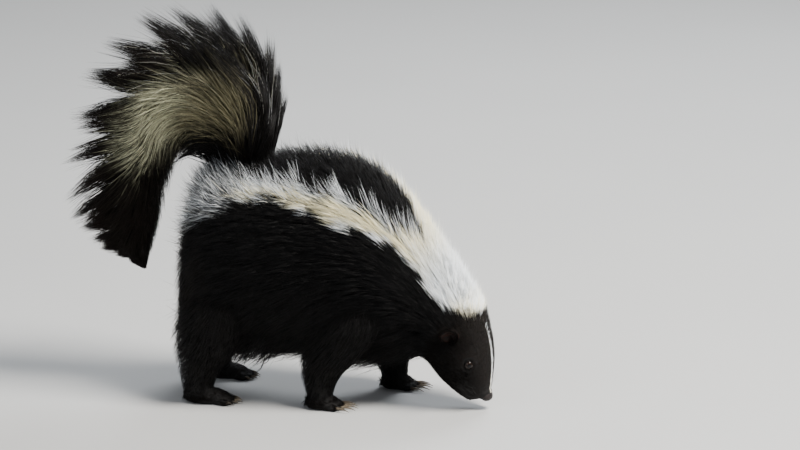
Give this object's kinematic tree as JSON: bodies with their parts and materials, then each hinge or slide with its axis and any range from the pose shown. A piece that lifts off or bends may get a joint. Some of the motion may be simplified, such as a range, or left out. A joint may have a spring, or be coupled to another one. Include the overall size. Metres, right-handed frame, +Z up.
{
  "type": "striped skunk",
  "caption": "Life-size still model of a striped skunk, walking with its nose to the ground, back arched and bushy tail raised and curled over the rump.",
  "frame": {"origin": "on the ground, under the middle of the whole outline", "axes": "+X forward, towards the nose; +Y to the animal's left; +Z up"},
  "size_m": [0.395, 0.1476, 0.3457],
  "materials": {
    "body_fur": "long, coarse, glossy guard hair over a dense underfur, lying back along the body; black with one broad creamy-white stripe along each side of the back",
    "neck_fur": "dense, slightly yellowish white hair on the nape, black on the throat",
    "head_fur": "short, flat-lying black hair with a thin white line down the forehead and nose",
    "leg_fur": "short to medium black hair, shorter towards the feet",
    "tail_fur": "very long, loose hair, cream-tan at the root and black at the tip, some hairs wholly white",
    "paw_skin": "black hair above, bare dark grainy pads below",
    "ear_skin": "thin skin with short black hair, reddish-brown inside",
    "nose_skin": "bare, moist, finely pebbled black skin",
    "eye": "wet, glossy, near black",
    "claw": "horn, dark brown at the root and paler at the tip, slightly worn"
  },
  "bodies": {
    "root": {"torso": "body_fur", "neck": "neck_fur", "head": "head_fur", "nose": "nose_skin", "eye_right": "eye", "eye_left": "eye", "ear_right": "ear_skin", "ear_left": "ear_skin", "foreleg_right": "leg_fur", "foreleg_left": "leg_fur", "hindleg_right": "leg_fur", "hindleg_left": "leg_fur", "forepaw_right": "paw_skin", "forepaw_left": "paw_skin", "hindpaw_right": "paw_skin", "hindpaw_left": "paw_skin", "tail_base": "tail_fur", "tail_middle": "tail_fur", "tail_tip": "tail_fur"}
  },
  "joints": []
}
